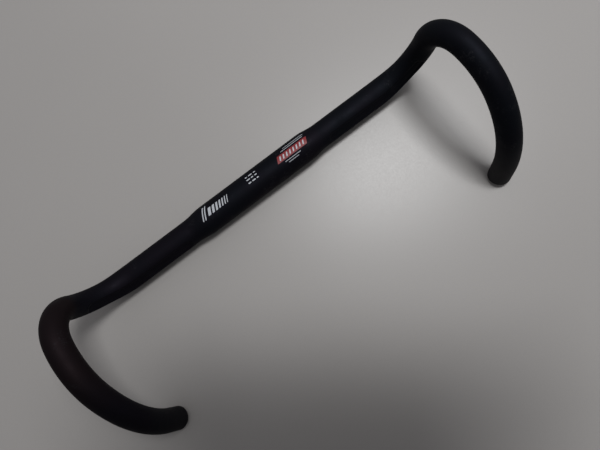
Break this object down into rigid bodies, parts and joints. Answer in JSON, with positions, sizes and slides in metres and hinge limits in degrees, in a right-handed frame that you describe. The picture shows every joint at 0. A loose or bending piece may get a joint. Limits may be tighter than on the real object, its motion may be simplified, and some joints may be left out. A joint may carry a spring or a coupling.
{
  "type": "drop handlebar",
  "caption": "Bare compact drop handlebar for a road bicycle: satin black butted aluminium tube with cable grooves, hooks and open ends.",
  "frame": {"origin": "centre of the stem clamp zone, on the tube's axis", "axes": "+X along the tops to the rider's left; +Z up from the table the bar lies on, which is forward on the bicycle; +Y up on the bicycle"},
  "size_m": [0.4642, 0.1758, 0.1152],
  "materials": {
    "satin_black": "satin black coating over a shot-blasted aluminium tube",
    "white_ink": "white printed transfer",
    "red_ink": "red printed transfer"
  },
  "bodies": {
    "root": {"clamp_section": "satin_black", "left_taper": "satin_black", "right_taper": "satin_black", "left_top": "satin_black", "right_top": "satin_black", "left_shoulder": "satin_black", "right_shoulder": "satin_black", "left_lever_bend": "satin_black", "right_lever_bend": "satin_black", "left_hook": "satin_black", "right_hook": "satin_black", "left_drop": "satin_black", "right_drop": "satin_black", "left_bar_end": "satin_black", "right_bar_end": "satin_black", "stripes_film": "white_ink", "size_marks_film": "white_ink", "tag_film": "red_ink"}
  },
  "joints": []
}
